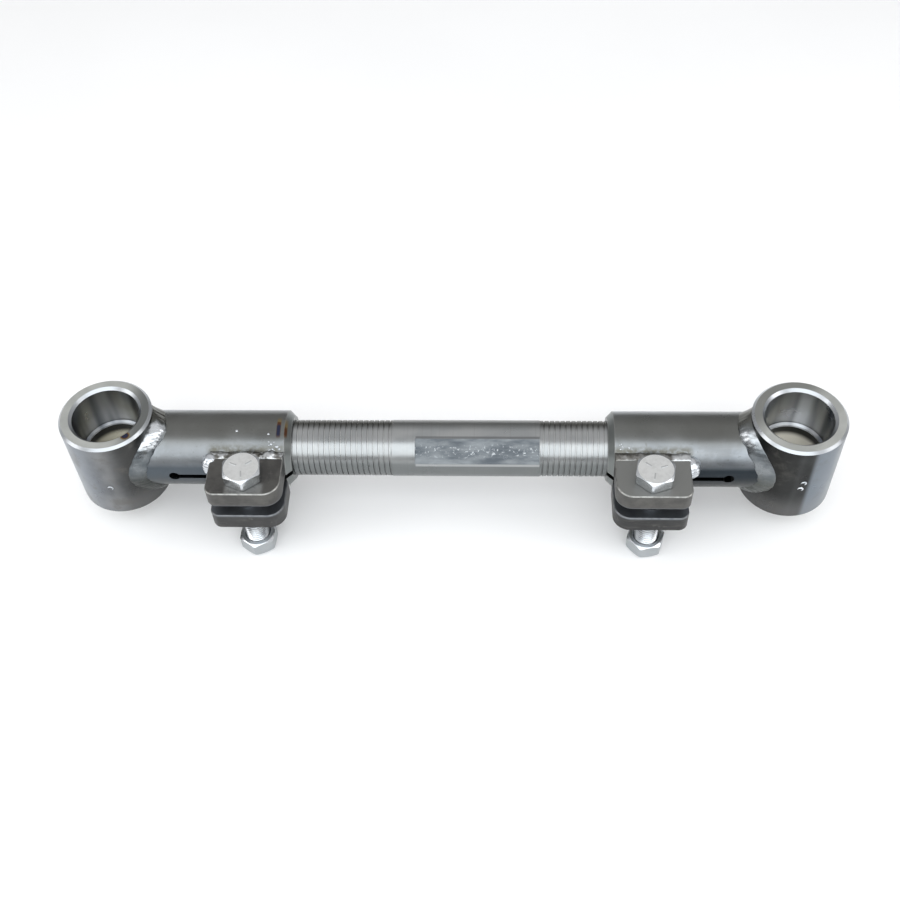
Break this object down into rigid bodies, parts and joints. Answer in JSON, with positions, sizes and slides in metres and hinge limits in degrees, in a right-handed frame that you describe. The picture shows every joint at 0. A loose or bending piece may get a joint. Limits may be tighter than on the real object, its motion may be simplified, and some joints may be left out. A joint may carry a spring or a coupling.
{
  "type": "adjustable torque arm",
  "caption": "Adjustable suspension torque arm: an eye on a split tube at each end, joined by a right- and left-hand screw locked by bolted ear clamps.",
  "frame": {"origin": "centre of the left eye, on its axis at half its length", "axes": "+X along the arm to the right eye's centre, +Z along the axis of both eyes towards the heads of the clamp bolts, so the clamp ears are on the -Y side"},
  "size_m": [0.6076, 0.0993, 0.1077],
  "materials": {
    "eye_steel": "machined, satin",
    "tube_steel": "mill scale, satin",
    "weld_metal": "as welded",
    "ear_steel": "mill scale, matte, ground edges",
    "screw_steel": "machined, satin",
    "zinc_plate": "zinc plated, satin"
  },
  "bodies": {
    "left_end": {"left_eye": "eye_steel", "left_tube": "tube_steel", "left_eye_weld": "weld_metal", "left_upper_ear": "ear_steel", "left_lower_ear": "ear_steel", "left_upper_ear_weld": "weld_metal", "left_lower_ear_weld": "weld_metal", "left_upper_ear_end_weld": "weld_metal"},
    "left_clamp_bolt": {"left_clamp_bolt": "zinc_plate"},
    "left_clamp_nut": {"left_clamp_nut": "zinc_plate"},
    "right_end": {"right_eye": "eye_steel", "right_tube": "tube_steel", "right_eye_weld": "weld_metal", "right_upper_ear": "ear_steel", "right_lower_ear": "ear_steel", "right_upper_ear_weld": "weld_metal", "right_lower_ear_weld": "weld_metal", "right_upper_ear_end_weld": "weld_metal"},
    "right_clamp_bolt": {"right_clamp_bolt": "zinc_plate"},
    "right_clamp_nut": {"right_clamp_nut": "zinc_plate"},
    "adjusting_screw": {"adjusting_screw": "screw_steel"}
  },
  "joints": [
    {"name": "left_thread_travel", "type": "slide", "parent": "left_end", "child": "adjusting_screw", "axis": [1, 0, 0], "range_m": [-0.01693, 0.01693]},
    {"name": "right_thread_travel", "type": "slide", "parent": "adjusting_screw", "child": "right_end", "axis": [1, 0, 0], "range_m": [-0.01693, 0.01693]},
    {"name": "left_bolt_turn", "type": "hinge", "parent": "left_end", "child": "left_clamp_bolt", "pos_m": [0.1113, -0.0444, 0], "axis": [0, 0, 1], "range_deg": [-4500, 360]},
    {"name": "left_nut_travel", "type": "slide", "parent": "left_end", "child": "left_clamp_nut", "axis": [0, 0, 1], "range_m": [-0.00254, 0.03175]},
    {"name": "right_bolt_turn", "type": "hinge", "parent": "right_end", "child": "right_clamp_bolt", "pos_m": [0.4237, -0.0444, 0], "axis": [0, 0, 1], "range_deg": [-4500, 360]},
    {"name": "right_nut_travel", "type": "slide", "parent": "right_end", "child": "right_clamp_nut", "axis": [0, 0, 1], "range_m": [-0.00254, 0.03175]}
  ],
  "couplings": [
    {"joint": "right_thread_travel", "follows": "left_thread_travel", "ratio": 1},
    {"joint": "left_nut_travel", "follows": "left_bolt_turn", "m_per_rad": -0.00040425},
    {"joint": "right_nut_travel", "follows": "right_bolt_turn", "m_per_rad": -0.00040425}
  ]
}
